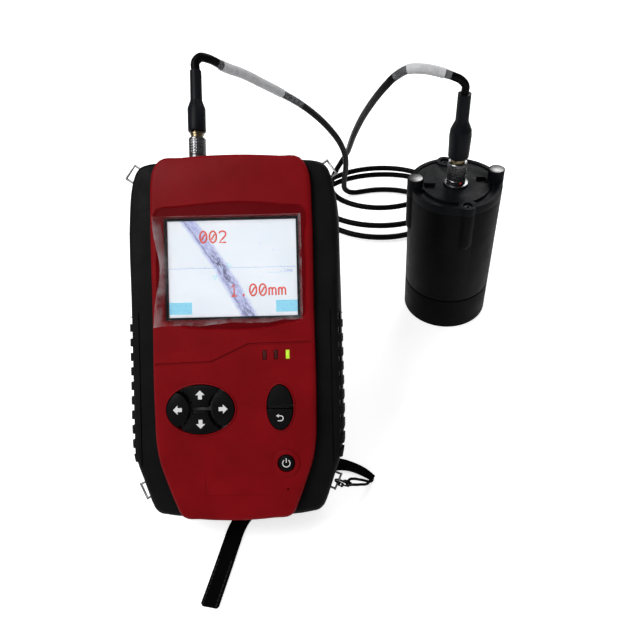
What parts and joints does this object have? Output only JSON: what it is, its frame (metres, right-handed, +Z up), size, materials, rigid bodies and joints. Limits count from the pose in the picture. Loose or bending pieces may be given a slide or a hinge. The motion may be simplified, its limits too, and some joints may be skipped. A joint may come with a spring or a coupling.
{
  "type": "crack width gauge",
  "caption": "Hand-held crack width gauge: screen reader on a fold-out stand, cabled camera probe and wrist strap.",
  "frame": {"origin": "middle of the camera probe's foot, on the surface that the object stands on", "axes": "+Z up, +Y away from the user along the reader's lean, +X to the user's right"},
  "size_m": [0.2309, 0.4218, 0.2058],
  "materials": {
    "red_cover": "satin moulded plastic",
    "black_plastic": "fine texture",
    "grip_rubber": "matte",
    "screen_glass": "clear",
    "screen_panel": "lit colour screen",
    "clear_film": "thin clear film",
    "circuit_board": "solder mask",
    "silicone": "matte",
    "battery_wrap": "shrink wrap",
    "screw_steel": "plain",
    "plated_metal": "satin plated",
    "lamp_lens": "clear lens",
    "key_plastic": "satin",
    "wire_steel": "bright wire",
    "probe_black": "fine moulded texture",
    "satin_cap": "satin",
    "brass": "nickel over brass",
    "boot_rubber": "matte",
    "cable_jacket": "satin jacket",
    "white_sleeve": "white tube",
    "clear_shrink": "clear shrink tube",
    "strap_fabric": "woven webbing",
    "clasp_metal": "black coated"
  },
  "bodies": {
    "root": {"front_cover": "red_cover", "rear_cover": "black_plastic", "cover_seal": "grip_rubber", "grip_left": "grip_rubber", "grip_right": "grip_rubber", "lcd_window": "screen_glass", "lcd_module": "screen_panel", "screen_film": "clear_film", "main_board": "circuit_board", "key_mat": "silicone", "battery_pack": "battery_wrap", "battery_door": "black_plastic", "case_screws": "screw_steel", "door_screws": "screw_steel", "buzzer": "black_plastic", "light_pipes": "lamp_lens", "charge_port": "plated_metal", "reader_socket": "plated_metal", "socket_nut": "plated_metal", "lanyard_bars": "wire_steel", "stand_pin": "screw_steel", "probe_shell": "probe_black", "probe_spacer": "probe_black", "probe_lid": "probe_black", "lid_screws": "screw_steel", "post_caps": "satin_cap", "probe_socket": "plated_metal", "camera_board": "circuit_board", "lens_barrel": "black_plastic", "lamp_ring": "circuit_board", "lamps": "lamp_lens", "foot_glass": "screen_glass", "foot_ring": "grip_rubber", "reader_plug_core": "brass", "reader_boot": "boot_rubber", "probe_plug_core": "brass", "probe_boot": "boot_rubber", "cable_reader_lead": "cable_jacket", "cable_coil": "cable_jacket", "cable_probe_lead": "cable_jacket", "sleeve_reader": "white_sleeve", "sleeve_probe": "white_sleeve", "shrink_reader": "clear_shrink", "shrink_probe": "clear_shrink", "strap_webbing": "strap_fabric", "strap_cord": "strap_fabric", "clasp_hook": "clasp_metal"},
    "up_key": {"key_up": "key_plastic"},
    "down_key": {"key_down": "key_plastic"},
    "left_key": {"key_left": "key_plastic"},
    "right_key": {"key_right": "key_plastic"},
    "enter_key": {"key_enter": "key_plastic"},
    "back_key": {"key_back": "key_plastic"},
    "power_key": {"key_power": "key_plastic"},
    "prop": {"stand": "black_plastic"},
    "reader_plug_sleeve": {"reader_plug": "plated_metal"},
    "probe_plug_sleeve": {"probe_plug": "plated_metal"},
    "gate": {"clasp_gate": "clasp_metal"}
  },
  "joints": [
    {"name": "up_key_press", "type": "slide", "parent": "root", "child": "up_key", "axis": [0, -0.7071, 0.7071], "range_m": [-0.001, 0], "stiffness_N_per_m": 200, "springref_m": 0.0005},
    {"name": "down_key_press", "type": "slide", "parent": "root", "child": "down_key", "axis": [0, -0.7071, 0.7071], "range_m": [-0.001, 0], "stiffness_N_per_m": 200, "springref_m": 0.0005},
    {"name": "left_key_press", "type": "slide", "parent": "root", "child": "left_key", "axis": [0, -0.7071, 0.7071], "range_m": [-0.001, 0], "stiffness_N_per_m": 200, "springref_m": 0.0005},
    {"name": "right_key_press", "type": "slide", "parent": "root", "child": "right_key", "axis": [0, -0.7071, 0.7071], "range_m": [-0.001, 0], "stiffness_N_per_m": 200, "springref_m": 0.0005},
    {"name": "enter_key_press", "type": "slide", "parent": "root", "child": "enter_key", "axis": [0, -0.7071, 0.7071], "range_m": [-0.001, 0], "stiffness_N_per_m": 200, "springref_m": 0.0005},
    {"name": "back_key_press", "type": "slide", "parent": "root", "child": "back_key", "axis": [0, -0.7071, 0.7071], "range_m": [-0.001, 0], "stiffness_N_per_m": 200, "springref_m": 0.0005},
    {"name": "power_key_press", "type": "slide", "parent": "root", "child": "power_key", "axis": [0, -0.7071, 0.7071], "range_m": [-0.001, 0], "stiffness_N_per_m": 200, "springref_m": 0.0005},
    {"name": "stand_fold", "type": "hinge", "parent": "root", "child": "prop", "pos_m": [-0.136, -0.10592, 0.07359], "axis": [1, 0, 0], "range_deg": [-80, 0]},
    {"name": "reader_plug_release", "type": "slide", "parent": "root", "child": "reader_plug_sleeve", "axis": [0, 0.7071, 0.7071], "range_m": [0, 0.0015], "stiffness_N_per_m": 500, "springref_m": -0.0005},
    {"name": "probe_plug_release", "type": "slide", "parent": "root", "child": "probe_plug_sleeve", "axis": [0, 0, 1], "range_m": [0, 0.0015], "stiffness_N_per_m": 500, "springref_m": -0.0005},
    {"name": "clasp_gate_open", "type": "hinge", "parent": "root", "child": "gate", "pos_m": [-0.07933, -0.18762, 0.0367], "axis": [0.4067, 0.646, 0.646], "range_deg": [0, 25], "stiffness_Nm_per_rad": 0.002, "springref_deg": -11.46}
  ]
}
